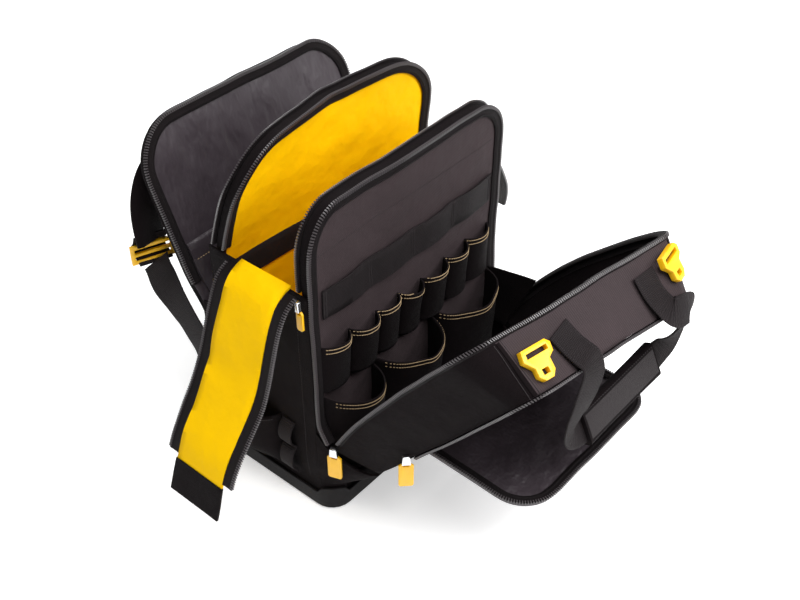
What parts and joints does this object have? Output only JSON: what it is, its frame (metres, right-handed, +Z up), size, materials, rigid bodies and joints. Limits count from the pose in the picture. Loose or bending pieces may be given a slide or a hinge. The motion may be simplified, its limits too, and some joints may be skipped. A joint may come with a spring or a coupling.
{
  "type": "open tool backpack",
  "caption": "Tool backpack standing open on a moulded base, with padded dividers, tool loops and pouches, a tilted front cover with pocket flap, gusset strips, carry handle and shoulder straps.",
  "frame": {"origin": "centre of the underside of the moulded base", "axes": "+Z up, -Y to the front where the cover tips open, +X to the right of a viewer who faces the front"},
  "size_m": [0.642, 0.5838, 0.454],
  "materials": {
    "moulded_rubber": "matt",
    "black_cloth": "woven, matt",
    "twill": "ribbed twill",
    "lining": "smooth, slight sheen",
    "yellow_cloth": "smooth woven",
    "webbing": "ribbed webbing",
    "zip_tape": "tape with moulded teeth",
    "yellow_plastic": "satin",
    "slider_metal": "polished"
  },
  "bodies": {
    "bag": {"moulded_base": "moulded_rubber", "left_side_wall": "black_cloth", "right_side_wall": "black_cloth", "front_wall": "black_cloth", "right_cheek": "black_cloth", "front_divider": "twill", "middle_divider": "yellow_cloth", "back_panel": "lining", "front_divider_front_zip": "zip_tape", "front_divider_rear_zip": "zip_tape", "middle_divider_front_zip": "zip_tape", "middle_divider_rear_zip": "zip_tape", "back_panel_zip": "zip_tape", "lining_band": "webbing", "back_panel_pocket": "lining", "tool_loops": "black_cloth", "tool_pouch_left": "black_cloth", "tool_pouch_middle": "black_cloth", "tool_pouch_right": "black_cloth", "divider_webbing": "webbing", "cover_gusset": "black_cloth", "cover_face": "black_cloth", "cover_zip": "zip_tape", "pocket_zip": "zip_tape", "pocket_flap": "lining", "flap_zip": "zip_tape", "left_gusset_strip": "yellow_cloth", "left_strip_front_zip": "zip_tape", "left_strip_rear_zip": "zip_tape", "left_strip_tab": "webbing", "right_gusset_strip": "yellow_cloth", "right_strip_front_zip": "zip_tape", "right_strip_rear_zip": "zip_tape", "right_strip_tab": "webbing", "left_shoulder_pad": "black_cloth", "left_strap_webbing": "webbing", "left_ladder_lock": "yellow_plastic", "right_shoulder_pad": "black_cloth", "right_strap_webbing": "webbing", "right_ladder_lock": "yellow_plastic", "carry_handle": "webbing", "handle_wrap": "black_cloth", "left_clip": "yellow_plastic", "right_clip": "yellow_plastic", "left_side_pocket": "black_cloth", "left_webbing_loops": "webbing", "right_side_pocket": "black_cloth", "right_webbing_loops": "webbing", "main_left_slider": "slider_metal", "main_right_slider": "slider_metal", "pocket_slider": "slider_metal", "strip_slider": "slider_metal"},
    "main_left_pull_body": {"main_left_pull": "yellow_plastic"},
    "main_right_pull_body": {"main_right_pull": "yellow_plastic"},
    "pocket_pull_body": {"pocket_pull": "yellow_plastic"},
    "strip_pull_body": {"strip_pull": "yellow_plastic"}
  },
  "joints": [
    {"name": "main_left_pull_swing", "type": "hinge", "parent": "bag", "child": "main_left_pull_body", "pos_m": [-0.16482, -0.10645, 0.1083], "axis": [-0.3436, 0.9391, 0], "range_deg": [0, 70]},
    {"name": "main_right_pull_swing", "type": "hinge", "parent": "bag", "child": "main_right_pull_body", "pos_m": [0.1733, -0.1132, 0.1299], "axis": [0, -1, 0], "range_deg": [0, 70]},
    {"name": "pocket_pull_swing", "type": "hinge", "parent": "bag", "child": "pocket_pull_body", "pos_m": [-0.14692, -0.19792, 0.1453], "axis": [-0.7071, 0.7071, 0], "range_deg": [0, 70]},
    {"name": "strip_pull_swing", "type": "hinge", "parent": "bag", "child": "strip_pull_body", "pos_m": [-0.1715, -0.0734, 0.3093], "axis": [0, 1, 0], "range_deg": [0, 60]}
  ]
}
